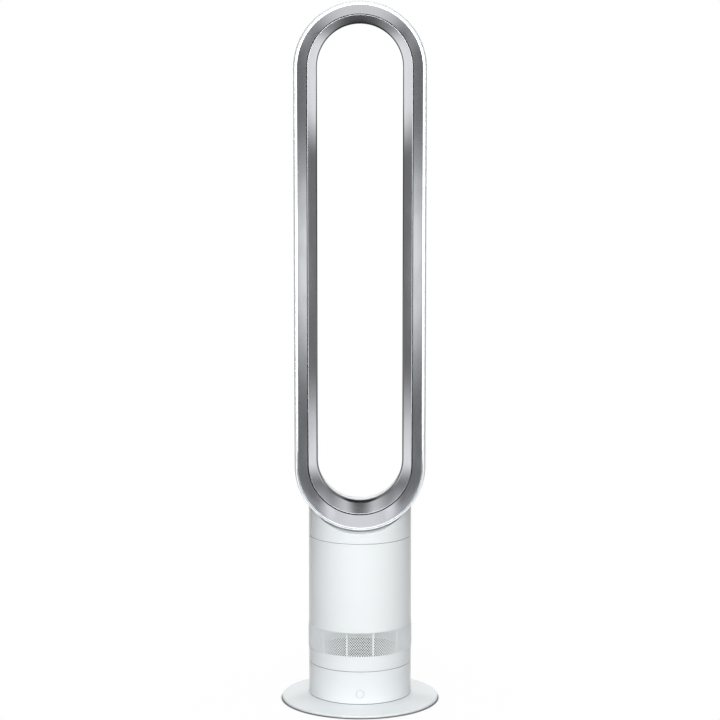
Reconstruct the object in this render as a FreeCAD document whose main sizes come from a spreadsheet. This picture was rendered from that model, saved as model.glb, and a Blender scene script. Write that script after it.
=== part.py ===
import FreeCAD, Part
import math
import os
import re

import Sketcher
from fcgear import fcgear, involute

# Bladeless tower fan: a tall open air loop on a round body that swings on a disc base.
# Millimetres. Origin at the middle of the underside, +Z up, the fan blows towards -Y.

SIZES = {
    # disc base
    "foot_height": 0.8, "foot_radius": 107.0, "foot_width": 9.0,
    "cover_thickness": 1.2, "cover_gap": 0.2,
    "base_radius": 113.3, "base_rim_height": 4.6, "base_top": 9.7, "base_wall": 2.0,
    "base_bore": 10.0, "rim_lift": 0.9,
    "weight_radius": 88.0, "weight_bore": 30.0, "weight_thickness": 3.0,
    "cover_post_circle": 22.0, "cover_post_radius": 4.0,
    # round body
    "body_radius": 74.1, "body_wall": 2.4, "collar_height": 47.6, "seam_gap": 0.5,
    "tower_height": 185.7, "fit_gap": 0.3,
    "boss_circle": 67.2, "boss_radius": 5.0, "screw_count": 4, "screw_radius": 1.5,
    "screw_hole_gap": 0.1, "screw_head_radius": 3.2, "screw_head_height": 2.0, "screw_grip": 12.0,
    # button, its switch and the boards
    "button_radius": 5.6, "button_level": 15.3, "button_flange_radius": 7.5,
    "button_flange": 1.2, "stem_radius": 2.0, "stem_length": 7.3, "button_travel": 1.2,
    "switch_size": 7.0, "switch_depth": 5.5, "switch_overlap": 1.0, "switch_bore_gap": 0.4,
    "switch_board_width": 24.0, "switch_board_height": 28.0,
    "holder_width": 3.0, "holder_depth": 6.5, "holder_height": 14.0,
    "board_length": 70.0, "board_width": 44.0, "board_thickness": 1.6, "standoff": 6.3,
    "standoff_radius": 3.5, "standoff_inset": 4.0,
    "coil_length": 18.0, "coil_width": 16.0, "coil_height": 14.0,
    "capacitor_radius": 5.0, "capacitor_height": 16.0, "part_spacing": 2.0,
    # cord inlet
    "gland_level": 9.0, "gland_bore": 3.6, "gland_barrel": 5.0, "gland_flange": 7.0,
    "gland_lip": 2.0,
    # swing bearing, its motor and gears
    "table_inset": 1.0, "table_thickness": 3.0, "race_gap": 2.0, "glide_width": 7.0,
    "glide_thickness": 2.0, "race_height": 11.5, "frame_thickness": 3.0,
    "sleeve_radius": 22.0, "pivot_radius": 18.0, "pivot_wall": 4.0, "running_gap": 0.08,
    "keeper_radius": 20.5, "keeper_thickness": 3.0,
    "gear_module": 1.5, "ring_teeth": 60, "pinion_teeth": 12, "pressure_angle": 20.0,
    "mesh_slack": 0.3, "gear_rim": 4.1, "gear_clearance": 2.0, "pinion_height": 7.0,
    "swing_motor_radius": 14.0, "swing_motor_height": 19.0, "swing_shaft_radius": 2.5,
    "swing_shaft_seat": 4.0, "shaft_window": 6.0,
    "ear_length": 42.0, "ear_width": 7.0, "ear_thickness": 1.0, "ear_hole_spacing": 35.0,
    # inlet band
    "band_level": 21.8, "band_height": 35.0, "band_proud": 0.6, "band_thickness": 1.7,
    "window_count": 12, "strip_angle": 2.0, "boss_height": 14.0,
    "foam_inner": 24.0, "foam_outer": 60.5, "foam_height": 12.0,
    # duct
    "ledge_rise": 1.9, "ledge_thickness": 2.5, "ledge_reach": 7.7,
    "seal_inner": 65.0, "seal_outer": 70.5, "seal_thickness": 2.0, "flange_thickness": 2.5,
    "duct_wall": 2.0, "duct_mouth": 48.0, "duct_radius": 58.0, "duct_drop": 3.0,
    "duct_mouth_height": 10.0, "duct_cone_height": 42.0, "duct_height": 88.0,
    # impeller
    "tip_gap": 0.8, "impeller_rise": 3.0, "impeller_height": 37.0, "hub_nose": 12.0,
    "hub_radius": 40.0, "hub_wall": 3.0, "hub_boss": 14.0, "blade_count": 9,
    "blade_thickness": 1.6, "blade_sweep": 14.0,
    # motor
    "shaft_radius": 3.0, "bucket_radius": 38.0, "bucket_wall": 2.0, "bucket_gap": 2.0,
    "bucket_height": 26.0, "cap_height": 24.0, "bearing_radius": 8.0, "bearing_height": 5.0,
    "bearing_seat_wall": 3.0, "shaft_hole": 4.0, "stator_height": 26.0, "stator_lift": 8.0,
    "stator_yoke": 6.0, "stator_bore": 19.0, "stator_teeth": 9, "tooth_width": 6.0,
    "rotor_gap": 0.6, "cone_height": 26.0, "cone_tip": 6.0, "cone_wall": 1.5,
    "vane_count": 11, "vane_thickness": 1.6, "vane_height": 26.0, "vane_ring": 1.3,
    "vane_lift": 14.0, "vane_gap": 0.1,
    # neck
    "top_ledge_drop": 3.0, "top_ledge_reach": 9.7, "gasket_inner": 64.0, "gasket_outer": 70.0,
    "gasket_thickness": 1.5, "spigot_wall": 2.5, "spigot_height": 4.0, "neck_wall": 2.5,
    "neck_reach": 56.0, "lock_wall": 6.0, "lock_height": 6.0, "loop_lift": 13.9,
    "air_half_length": 44.0, "air_half_width": 27.0,
    # air loop: half widths across, setbacks from its front plane
    "loop_straight": 562.5, "loop_half_width": 93.3, "front_depth": 55.0, "loop_depth": 110.0,
    "loop_wall": 1.8, "rim_half_width": 91.2, "widest_setback": 17.0,
    "shoulder_half_width": 86.5, "shoulder_setback": 96.85, "rear_half_width": 70.8,
    "lip_half_width": 63.5, "lip_length": 15.7,
    "crease_half_width": 74.3, "crease_setback": 30.0,
    "throat_half_width": 61.0, "throat_setback": 66.0, "slot_gap": 1.5, "slot_setback": 87.0,
    "guide_setback": 99.0,
    "spacer_width": 8.0, "spacer_depth": 8.0, "spacers_a_side": 6,
    "rim_seal_width": 1.3, "rim_seal_inset": 2.7, "rim_seal_setback": 2.7,
}

COLLAR_TOP = "(base_top + collar_height)"
TOWER_LOW = "(base_top + collar_height + seam_gap)"
TOWER_TOP = "(base_top + collar_height + seam_gap + tower_height)"
NECK_LOW = "(base_top + collar_height + 2 * seam_gap + tower_height)"
LOOP_LOW = "(base_top + collar_height + 2 * seam_gap + tower_height + loop_lift)"
INNER_RADIUS = "(body_radius - body_wall)"
TABLE_LOW = f"({TOWER_LOW} + table_inset)"
TABLE_TOP = f"({TABLE_LOW} + table_thickness)"
GLIDE_TOP = f"({TABLE_LOW} - fit_gap)"
GLIDE_LOW = f"({GLIDE_TOP} - glide_thickness)"
FRAME_TOP = f"({GLIDE_LOW} - race_height)"
FRAME_LOW = f"({FRAME_TOP} - frame_thickness)"
BAND_LOW = f"({TOWER_LOW} + band_level)"
BAND_TOP = f"({BAND_LOW} + band_height)"
LEDGE_LOW = f"({BAND_TOP} + ledge_rise)"
LEDGE_TOP = f"({LEDGE_LOW} + ledge_thickness)"
FLANGE_LOW = f"({LEDGE_TOP} + seal_thickness)"
FLANGE_TOP = f"({FLANGE_LOW} + flange_thickness)"
DUCT_LOW = f"({FLANGE_LOW} - duct_drop)"
CONE_LOW = f"({DUCT_LOW} + duct_mouth_height)"
CONE_TOP = f"({DUCT_LOW} + duct_cone_height)"
IMPELLER_LOW = f"({DUCT_LOW} + impeller_rise)"
IMPELLER_TOP = f"({IMPELLER_LOW} + impeller_height)"
BUCKET_LOW = f"({IMPELLER_TOP} + bucket_gap)"
BUCKET_FLOOR = f"({BUCKET_LOW} + bucket_wall)"
BUCKET_TOP = f"({BUCKET_LOW} + bucket_height)"
CAP_TOP = f"({BUCKET_TOP} + cap_height)"
CAP_CEILING = f"({CAP_TOP} - bucket_wall)"
UPPER_LEDGE_TOP = f"({TOWER_TOP} - top_ledge_drop)"
UPPER_LEDGE_LOW = f"({UPPER_LEDGE_TOP} - ledge_thickness)"
SPIGOT_LOW = f"({UPPER_LEDGE_TOP} + gasket_thickness)"
LOOP_LOW_CENTRE = f"({LOOP_LOW} + loop_half_width)"
LOOP_HIGH_CENTRE = f"({LOOP_LOW_CENTRE} + loop_straight)"
SWING_AXIS_OFFSET = "((ring_teeth - pinion_teeth) * gear_module / 2 - mesh_slack)"
TOOTH_ROOT = 1.25
RING_GEAR_RADIUS = f"((ring_teeth / 2 + {TOOTH_ROOT}) * gear_module + gear_rim)"
GLIDE_INNER = f"({RING_GEAR_RADIUS} + race_gap)"
GLIDE_OUTER = f"({GLIDE_INNER} + glide_width)"

HALF_ROUND = 180
TINY = 1e-6

doc = FreeCAD.newDocument("tower_fan")
sheet = doc.addObject("Spreadsheet::Sheet", "Sheet")
for row, (alias, size) in enumerate(SIZES.items(), start=1):
    sheet.set(f"A{row}", alias)
    sheet.set(f"B{row}", str(size))
    sheet.setAlias(f"B{row}", alias)
doc.recompute()

parts = {}


# ---- writing rules on the sheet and drawing with them ----

def on_sheet(rule):
    """A rule written with plain size names, as an expression on the sheet."""
    return re.sub(r"[a-z_]{3,}", lambda word: f"Sheet.{word[0]}" if word[0] in SIZES else word[0], rule)


def value(rule):
    """What a rule is worth now."""
    return float(sheet.evalExpression(on_sheet(rule)))


def bind(thing, prop, rule):
    thing.setExpression(prop, on_sheet(rule))


def origin_feature(body, role):
    """One of a body's own origin planes or axes."""
    return next(item for item in body.Origin.OriginFeatures if item.Role == role)


def draw(sketch, corners, closed=True):
    """Joins the corners, each a rule across, a rule up and maybe the turn of the side that follows.

    A turn is in degrees, to the left if positive, and bends that side into one round arc.
    """
    points = [FreeCAD.Vector(value(corner[0]), value(corner[1]), 0) for corner in corners]
    count = len(corners) if closed else len(corners) - 1
    first = sketch.GeometryCount
    entries = []
    for index in range(count):
        start = points[index]
        end = points[(index + 1) % len(points)]
        turn = corners[index][2] if len(corners[index]) > 2 else 0
        if turn:
            bulge = math.tan(math.radians(turn) / 4) / 2
            middle = (start + end) * 0.5 + FreeCAD.Vector(end.y - start.y, start.x - end.x, 0) * bulge
            sketch.addGeometry(Part.Arc(start, middle, end))
        else:
            sketch.addGeometry(Part.LineSegment(start, end))
        entries.append((1, 2) if turn >= 0 else (2, 1))
    for index in range(count):
        across, up = corners[index][:2]
        edge = first + index
        pin_point(sketch, edge, entries[index][0], across, up)
        if closed or index + 1 < count:
            following = (index + 1) % count
            sketch.addConstraint(Sketcher.Constraint(
                "Coincident", edge, entries[index][1], first + following, entries[following][0]))
        turn = corners[index][2] if len(corners[index]) > 2 else 0
        next_across, next_up = corners[(index + 1) % len(corners)][:2]
        if abs(turn) == HALF_ROUND:
            level = abs(points[index].y - points[(index + 1) % len(points)].y) < TINY
            if level:
                pin(sketch, "DistanceY", edge, 3, f"(({up}) + ({next_up})) / 2")
            else:
                pin(sketch, "DistanceX", edge, 3, f"(({across}) + ({next_across})) / 2")
        elif turn:
            share = 0.5 / math.sin(math.radians(abs(turn)) / 2)
            chord = f"sqrt(({next_across} - ({across}))^2 + ({next_up} - ({up}))^2)"
            radius = f"{share} * {chord}"
            number = sketch.addConstraint(Sketcher.Constraint("Radius", edge, value(radius)))
            bind(sketch, f"Constraints[{number}]", radius)
    if not closed:
        pin_point(sketch, first + count - 1, entries[-1][1], *corners[-1][:2])


def pin(sketch, kind, edge, end, rule):
    """Ties one point's distance from the sketch's origin to a rule."""
    number = sketch.addConstraint(Sketcher.Constraint(kind, -1, 1, edge, end, value(rule)))
    bind(sketch, f"Constraints[{number}]", rule)


def pin_point(sketch, edge, end, across, up):
    """Ties one end of an edge to its rules across and up."""
    pin(sketch, "DistanceX", edge, end, across)
    pin(sketch, "DistanceY", edge, end, up)


def draw_circle(sketch, across, up, radius):
    centre = FreeCAD.Vector(value(across), value(up), 0)
    edge = sketch.addGeometry(Part.Circle(centre, FreeCAD.Vector(0, 0, 1), value(radius)))
    pin_point(sketch, edge, 3, across, up)
    number = sketch.addConstraint(Sketcher.Constraint("Radius", edge, value(radius)))
    bind(sketch, f"Constraints[{number}]", radius)


def sketch_in(body, role, offset="0"):
    """An empty sketch on one of the body's own planes, moved off it by a rule."""
    sketch = body.newObject("Sketcher::SketchObject", "Outline")
    sketch.AttachmentSupport = [(origin_feature(body, role), "")]
    sketch.MapMode = "FlatFace"
    bind(sketch, "AttachmentOffset.Base.z", offset)
    return sketch


def new_body(label):
    body = doc.addObject("PartDesign::Body", label)
    body.AllowCompound = True
    return body


def new_part(label):
    """A body that is a sub-part of its own."""
    parts[label] = new_body(label)
    return parts[label]


def turn_outline(body, corners, cut=False):
    """Turns an outline of radius and level round the upright axis, to add or to cut."""
    sketch = sketch_in(body, "XZ_Plane")
    draw(sketch, corners)
    feature = body.newObject("PartDesign::Groove" if cut else "PartDesign::Revolution", "Turned")
    feature.Profile = sketch
    feature.ReferenceAxis = (origin_feature(body, "Z_Axis"), [""])
    feature.Angle = 360
    return feature


def ring(body, inner, outer, low, high):
    return turn_outline(body, [(inner, low), (outer, low), (outer, high), (inner, high)])


def pad(body, sketch, length):
    feature = body.newObject("PartDesign::Pad", "Pad")
    feature.Profile = sketch
    bind(feature, "Length", length)
    return feature


def pocket(body, sketch, length):
    """Cuts from the sketch's plane along its own normal."""
    feature = body.newObject("PartDesign::Pocket", "Pocket")
    feature.Profile = sketch
    feature.Reversed = True
    bind(feature, "Length", length)
    return feature


def block(body, west, east, south, north, low, high):
    """An upright block between rules for its six faces."""
    sketch = sketch_in(body, "XY_Plane", low)
    draw(sketch, [(west, south), (east, south), (east, north), (west, north)])
    return pad(body, sketch, f"({high}) - ({low})")


def post(body, across, back, radius, low, high):
    sketch = sketch_in(body, "XY_Plane", low)
    draw_circle(sketch, across, back, radius)
    return pad(body, sketch, f"({high}) - ({low})")


def hole(body, across, back, radius, low, high):
    sketch = sketch_in(body, "XY_Plane", low)
    draw_circle(sketch, across, back, radius)
    return pocket(body, sketch, f"({high}) - ({low})")


def disc_to_front(body, level, radius, near, far):
    """A disc that faces -Y, between two distances in front of the upright axis."""
    sketch = sketch_in(body, "XZ_Plane", near)
    draw_circle(sketch, "0", level, radius)
    return pad(body, sketch, f"({far}) - ({near})")


def hole_to_front(body, level, radius, near, far):
    sketch = sketch_in(body, "XZ_Plane", near)
    draw_circle(sketch, "0", level, radius)
    return pocket(body, sketch, f"({far}) - ({near})")


def repeat_round(body, features, count):
    """Repeats features evenly round the upright axis."""
    pattern = body.newObject("PartDesign::PolarPattern", "Round")
    pattern.Originals = features
    pattern.Axis = (origin_feature(body, "Z_Axis"), [""])
    pattern.Angle = 360
    bind(pattern, "Occurrences", count)
    body.Tip = pattern
    return pattern


def on_circle(circle, angle):
    """Rules across and back for a point on a circle."""
    cosine = round(math.cos(math.radians(angle)), 6)
    sine = round(math.sin(math.radians(angle)), 6)
    return f"{circle} * {cosine}", f"{circle} * {sine}"


CORNER_ANGLE = 45
SCREW_HOLE = "(screw_radius + screw_hole_gap)"


def screw_holes(body, low, high, circle="boss_circle"):
    across, back = on_circle(circle, CORNER_ANGLE)
    repeat_round(body, [hole(body, across, back, SCREW_HOLE, low, high)], "screw_count")


def screws(label, head_low, head_high, shank_low, shank_high, circle="boss_circle"):
    """One group of equal screws on a circle."""
    body = new_part(label)
    across, back = on_circle(circle, CORNER_ANGLE)
    head = post(body, across, back, "screw_head_radius", head_low, head_high)
    shank = post(body, across, back, "screw_radius", shank_low, shank_high)
    repeat_round(body, [head, shank], "screw_count")


# ---- disc base ----

COVER_TOP = "(foot_height + cover_thickness)"
BASE_FLOOR = "(base_top - base_wall)"
COVER_RADIUS = "(base_radius - base_wall - cover_gap)"


def make_foot_ring():
    ring(new_part("foot_ring"), "foot_radius - foot_width", "foot_radius", "0", "foot_height")


def make_bottom_cover():
    body = new_part("bottom_cover")
    ring(body, "base_bore", COVER_RADIUS, "foot_height", COVER_TOP)
    screw_holes(body, "foot_height", COVER_TOP, "cover_post_circle")


def make_base_weight():
    ring(new_part("base_weight"), "weight_bore", "weight_radius", COVER_TOP,
         f"{COVER_TOP} + weight_thickness")


def make_base_plate():
    body = new_part("base_plate")
    turn_outline(body, [
        ("base_radius - base_wall", "rim_lift"),
        ("base_radius", "rim_lift"),
        ("base_radius", "base_rim_height - base_wall / 2", 60),
        ("base_radius - base_wall", "base_rim_height", 4),
        ("body_radius + base_wall", "base_top"),
        ("base_bore", "base_top"),
        ("base_bore", BASE_FLOOR),
        ("body_radius + base_wall", BASE_FLOOR, -4),
        ("base_radius - base_wall", "base_rim_height - base_wall"),
    ])
    across, back = on_circle("cover_post_circle", CORNER_ANGLE)
    cover_post = post(body, across, back, "cover_post_radius", COVER_TOP, BASE_FLOOR)
    repeat_round(body, [cover_post], "screw_count")
    for side in (-1, 1):
        for end in (-1, 1):
            post(body, f"{side} * (board_length / 2 - standoff_inset)",
                 f"{end} * (board_width / 2 - standoff_inset)",
                 "standoff_radius", "base_top", "base_top + standoff")
        edge = f"{side} * (switch_board_width / 2 + screw_hole_gap)"
        block(body, edge, f"{edge} + {side} * holder_width", HOLDER_FRONT, HOLDER_BACK,
              "base_top", "base_top + holder_height")
    screw_holes(body, BASE_FLOOR, "base_top")
    screw_holes(body, COVER_TOP, BASE_FLOOR, "cover_post_circle")


def make_base_screws():
    screws("base_screws", f"{BASE_FLOOR} - screw_head_height", BASE_FLOOR,
           BASE_FLOOR, "base_top + screw_grip")
    screws("cover_screws", "foot_height - fit_gap", "foot_height",
           "foot_height", f"{BASE_FLOOR} - fit_gap", "cover_post_circle")


# ---- lower casing with its button, boards and cord inlet ----

BUTTON_LEVEL = "(base_top + button_level)"
GLAND_LEVEL = "(base_top + gland_level)"
FLANGE_FRONT = f"(sqrt({INNER_RADIUS}^2 - button_flange_radius^2) - fit_gap)"
FLANGE_BACK = f"({FLANGE_FRONT} - button_flange)"
STEM_END = f"({FLANGE_BACK} - stem_length)"
SWITCH_FRONT = f"({STEM_END} + switch_overlap)"
SWITCH_BACK = f"({SWITCH_FRONT} - switch_depth)"
SWITCH_BOARD_BACK = f"({SWITCH_BACK} - board_thickness)"
HOLDER_MIDDLE = f"({SWITCH_BACK} - board_thickness / 2)"
HOLDER_FRONT = f"(-{HOLDER_MIDDLE} - holder_depth / 2)"
HOLDER_BACK = f"(-{HOLDER_MIDDLE} + holder_depth / 2)"


def make_lower_casing():
    body = new_part("lower_casing")
    ring(body, INNER_RADIUS, "body_radius", "base_top", COLLAR_TOP)
    across, back = on_circle("boss_circle", CORNER_ANGLE)
    boss = post(body, across, back, "boss_radius", "base_top", FRAME_LOW)
    repeat_round(body, [boss], "screw_count")
    screw_holes(body, "base_top", FRAME_LOW)
    hole_to_front(body, BUTTON_LEVEL, "button_radius + fit_gap", f"{INNER_RADIUS} - body_wall",
                  "body_radius + body_wall")
    hole_to_front(body, GLAND_LEVEL, "gland_barrel + screw_hole_gap", "-body_radius - body_wall",
                  f"-{INNER_RADIUS} + body_wall")


def make_power_button():
    """A cap flush with the round wall, a flange that stops it there, and a stem to the switch."""
    body = new_part("power_button")
    disc_to_front(body, BUTTON_LEVEL, "button_radius", FLANGE_BACK, "body_radius + body_wall")
    disc_to_front(body, BUTTON_LEVEL, "button_flange_radius", FLANGE_BACK, FLANGE_FRONT)
    disc_to_front(body, BUTTON_LEVEL, "stem_radius", STEM_END, FLANGE_BACK)
    turn_outline(body, [
        ("body_radius", f"{BUTTON_LEVEL} - 2 * button_radius"),
        ("body_radius + 2 * body_wall", f"{BUTTON_LEVEL} - 2 * button_radius"),
        ("body_radius + 2 * body_wall", f"{BUTTON_LEVEL} + 2 * button_radius"),
        ("body_radius", f"{BUTTON_LEVEL} + 2 * button_radius"),
    ], cut=True)


def make_button_switch():
    body = new_part("button_switch")
    sketch = sketch_in(body, "XZ_Plane", SWITCH_BACK)
    half = "switch_size / 2"
    low = f"{BUTTON_LEVEL} - switch_size / 2"
    high = f"{BUTTON_LEVEL} + switch_size / 2"
    draw(sketch, [(f"-{half}", low), (half, low), (half, high), (f"-{half}", high)])
    pad(body, sketch, "switch_depth")
    hole_to_front(body, BUTTON_LEVEL, "stem_radius + switch_bore_gap",
                  f"{STEM_END} - button_travel - switch_bore_gap", f"{SWITCH_FRONT} + body_wall")


def make_boards():
    switch_board = new_part("switch_board")
    half = "switch_board_width / 2"
    block(switch_board, f"-{half}", half, f"-{SWITCH_BACK}", f"-{SWITCH_BOARD_BACK}",
          "base_top", "base_top + switch_board_height")
    board = new_part("control_board")
    low = "(base_top + standoff)"
    top = f"({low} + board_thickness)"
    block(board, "-board_length / 2", "board_length / 2", "-board_width / 2", "board_width / 2",
          low, top)
    block(board, "-coil_length - part_spacing", "-part_spacing", "-coil_width - part_spacing",
          "-part_spacing", top, f"{top} + coil_height")
    post(board, "-coil_length", "capacitor_radius + part_spacing", "capacitor_radius",
         top, f"{top} + capacitor_height")


def make_cord_gland():
    """A flanged rubber ring that the mains cord leaves through, low in the back of the casing."""
    body = new_part("cord_gland")
    inside = f"(sqrt({INNER_RADIUS}^2 - gland_flange^2) - fit_gap)"
    outside = "(body_radius + screw_hole_gap)"
    disc_to_front(body, GLAND_LEVEL, "gland_flange", f"-{outside} - gland_lip", f"-{outside}")
    disc_to_front(body, GLAND_LEVEL, "gland_barrel", f"-{outside}", f"-{inside}")
    disc_to_front(body, GLAND_LEVEL, "gland_flange", f"-{inside}", f"-{inside} + gland_lip")
    hole_to_front(body, GLAND_LEVEL, "gland_bore", f"-{outside} - 2 * gland_lip",
                  f"-{inside} + 2 * gland_lip")


# ---- swing bearing, motor and gears ----

MOTOR_TOP = FRAME_LOW
MOTOR_LOW = f"({FRAME_LOW} - swing_motor_height)"
GEAR_LOW = f"({FRAME_TOP} + gear_clearance)"
PINION_LOW = f"({GEAR_LOW} - gear_clearance / 2)"
PINION_TOP = f"({PINION_LOW} + pinion_height)"


def make_bearing_frame():
    body = new_part("bearing_frame")
    turn_outline(body, [
        ("pivot_radius", FRAME_LOW),
        (f"{INNER_RADIUS} - fit_gap", FRAME_LOW),
        (f"{INNER_RADIUS} - fit_gap", FRAME_TOP),
        (GLIDE_OUTER, FRAME_TOP),
        (GLIDE_OUTER, GLIDE_LOW),
        (GLIDE_INNER, GLIDE_LOW),
        (GLIDE_INNER, FRAME_TOP),
        ("sleeve_radius", FRAME_TOP),
        ("sleeve_radius", GLIDE_LOW),
        ("pivot_radius", GLIDE_LOW),
    ])
    hole(body, SWING_AXIS_OFFSET, "0", "shaft_window", FRAME_LOW, FRAME_TOP)
    for side in (-1, 1):
        hole(body, SWING_AXIS_OFFSET, f"{side} * ear_hole_spacing / 2", SCREW_HOLE,
             FRAME_LOW, FRAME_TOP)
    screw_holes(body, FRAME_LOW, FRAME_TOP)


def make_frame_screws():
    screws("frame_screws", FRAME_TOP, f"{FRAME_TOP} + screw_head_height",
           f"{FRAME_TOP} - screw_grip", FRAME_TOP)


def make_glide_ring():
    ring(new_part("glide_ring"), GLIDE_INNER, GLIDE_OUTER, GLIDE_LOW, GLIDE_TOP)


def make_swing_motor():
    body = new_part("swing_motor")
    post(body, SWING_AXIS_OFFSET, "0", "swing_motor_radius", MOTOR_LOW, MOTOR_TOP)
    block(body, f"{SWING_AXIS_OFFSET} - ear_width / 2", f"{SWING_AXIS_OFFSET} + ear_width / 2",
          "-ear_length / 2", "ear_length / 2", f"{MOTOR_TOP} - ear_thickness", MOTOR_TOP)
    hole(body, SWING_AXIS_OFFSET, "0", "swing_shaft_radius + running_gap",
         f"{MOTOR_TOP} - swing_shaft_seat - fit_gap", MOTOR_TOP)
    for side in (-1, 1):
        hole(body, SWING_AXIS_OFFSET, f"{side} * ear_hole_spacing / 2", SCREW_HOLE,
             f"{MOTOR_TOP} - ear_thickness", MOTOR_TOP)


def make_swing_motor_screws():
    body = new_part("swing_motor_screws")
    low = f"({MOTOR_TOP} - ear_thickness)"
    for side in (-1, 1):
        back = f"{side} * ear_hole_spacing / 2"
        post(body, SWING_AXIS_OFFSET, back, "screw_head_radius", f"{low} - screw_head_height", low)
        post(body, SWING_AXIS_OFFSET, back, "screw_radius", low, FRAME_TOP)


def gear_wire(make_teeth, teeth):
    """The closed outline of a gear's teeth, about the origin."""
    pen = fcgear.FCWireBuilder()
    make_teeth(pen, value("gear_module"), int(value(teeth)), value("pressure_angle"))
    return Part.Wire([piece.toShape() for piece in pen.wire])


def make_pinion():
    """An involute pinion pressed on the swing motor's shaft, both made about their own axis."""
    height = value(f"{PINION_TOP} - {PINION_LOW}")
    teeth = Part.Face(gear_wire(involute.CreateExternalGear, "pinion_teeth"))
    shaft_radius = value("swing_shaft_radius")
    solid = teeth.extrude(FreeCAD.Vector(0, 0, height)).cut(Part.makeCylinder(shaft_radius, height))
    solid.rotate(FreeCAD.Vector(), FreeCAD.Vector(0, 0, 1), HALF_ROUND / value("pinion_teeth"))
    pinion = doc.addObject("Part::Feature", "pinion")
    pinion.Shape = solid
    shaft = doc.addObject("Part::Cylinder", "pinion_shaft")
    bind(shaft, "Radius", "swing_shaft_radius")
    bind(shaft, "Height", f"{PINION_TOP} - ({MOTOR_TOP} - swing_shaft_seat)")
    for piece, low in ((pinion, PINION_LOW), (shaft, f"{MOTOR_TOP} - swing_shaft_seat")):
        bind(piece, "Placement.Base.x", SWING_AXIS_OFFSET)
        bind(piece, "Placement.Base.z", low)
        parts[piece.Label] = piece


def make_ring_gear():
    """An internal gear under the turntable, drawn down far enough to meet the pinion."""
    teeth = Part.Face(gear_wire(involute.CreateInternalGear, "ring_teeth"))
    height = value(f"{TABLE_LOW} - {GEAR_LOW}")
    gear = doc.addObject("Part::Feature", "ring_gear")
    gear.Shape = Part.makeCylinder(value(RING_GEAR_RADIUS), height).cut(
        teeth.extrude(FreeCAD.Vector(0, 0, height)))
    bind(gear, "Placement.Base.z", GEAR_LOW)
    parts["ring_gear"] = gear


def make_turntable():
    body = new_part("turntable")
    pivot = "(pivot_radius - running_gap)"
    pivot_low = f"({FRAME_LOW} - fit_gap)"
    turn_outline(body, [
        ("pivot_radius - pivot_wall", pivot_low),
        (pivot, pivot_low),
        (pivot, TABLE_LOW),
        (f"{INNER_RADIUS} - screw_hole_gap", TABLE_LOW),
        (f"{INNER_RADIUS} - screw_hole_gap", TABLE_TOP),
        ("pivot_radius - pivot_wall", TABLE_TOP),
    ])
    screw_holes(body, TABLE_LOW, TABLE_TOP)


def make_table_screws():
    screws("table_screws", f"{TABLE_LOW} - screw_head_height", TABLE_LOW,
           TABLE_LOW, f"{TABLE_TOP} + screw_grip")


def make_keeper_ring():
    """Fixed to the pivot's lower end, so that the tower can't be lifted off the base."""
    ring(new_part("keeper_ring"), "pivot_radius - pivot_wall", "keeper_radius",
         f"{FRAME_LOW} - fit_gap - keeper_thickness", f"{FRAME_LOW} - fit_gap")


# ---- main casing and inlet band ----

BAND_RADIUS = "(body_radius + band_proud)"
RECESS_RADIUS = f"({BAND_RADIUS} - band_thickness - screw_hole_gap)"


def make_main_casing():
    body = new_part("main_casing")
    low_reach = f"({INNER_RADIUS} - ledge_reach)"
    high_reach = f"({INNER_RADIUS} - top_ledge_reach)"
    turn_outline(body, [
        (INNER_RADIUS, TOWER_LOW),
        ("body_radius", TOWER_LOW),
        ("body_radius", BAND_LOW),
        (RECESS_RADIUS, BAND_LOW),
        (RECESS_RADIUS, BAND_TOP),
        ("body_radius", BAND_TOP),
        ("body_radius", TOWER_TOP),
        (INNER_RADIUS, TOWER_TOP),
        (INNER_RADIUS, UPPER_LEDGE_TOP),
        (high_reach, UPPER_LEDGE_TOP),
        (high_reach, UPPER_LEDGE_LOW),
        (INNER_RADIUS, UPPER_LEDGE_LOW),
        (INNER_RADIUS, LEDGE_TOP),
        (low_reach, LEDGE_TOP),
        (low_reach, LEDGE_LOW),
        (INNER_RADIUS, LEDGE_LOW),
    ])
    across, back = on_circle("boss_circle", CORNER_ANGLE)
    boss = post(body, across, back, "boss_radius", TABLE_TOP, f"{TABLE_TOP} + boss_height")
    repeat_round(body, [boss], "screw_count")
    screw_holes(body, TABLE_TOP, f"{TABLE_TOP} + boss_height")
    windows = sketch_in(body, "XY_Plane", BAND_LOW)
    half_angle = "(180 / window_count - strip_angle / 2)"
    inner = f"({INNER_RADIUS} - body_wall)"
    outer = "(body_radius + body_wall)"
    draw(windows, [
        (inner, f"-{inner} * tan({half_angle})"),
        (outer, f"-{outer} * tan({half_angle})"),
        (outer, f"{outer} * tan({half_angle})"),
        (inner, f"{inner} * tan({half_angle})"),
    ])
    window = pocket(body, windows, "band_height")
    repeat_round(body, [window], "window_count")


def make_inlet_band():
    ring(new_part("inlet_band"), f"{BAND_RADIUS} - band_thickness", BAND_RADIUS,
         f"{BAND_LOW} + screw_hole_gap", f"{BAND_TOP} - screw_hole_gap")


def make_silencer_foam():
    ring(new_part("silencer_foam"), "foam_inner", "foam_outer", TABLE_TOP,
         f"{TABLE_TOP} + foam_height")


# ---- duct, impeller and motor ----

def make_duct_seal():
    ring(new_part("duct_seal"), "seal_inner", "seal_outer", LEDGE_TOP, FLANGE_LOW)


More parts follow.
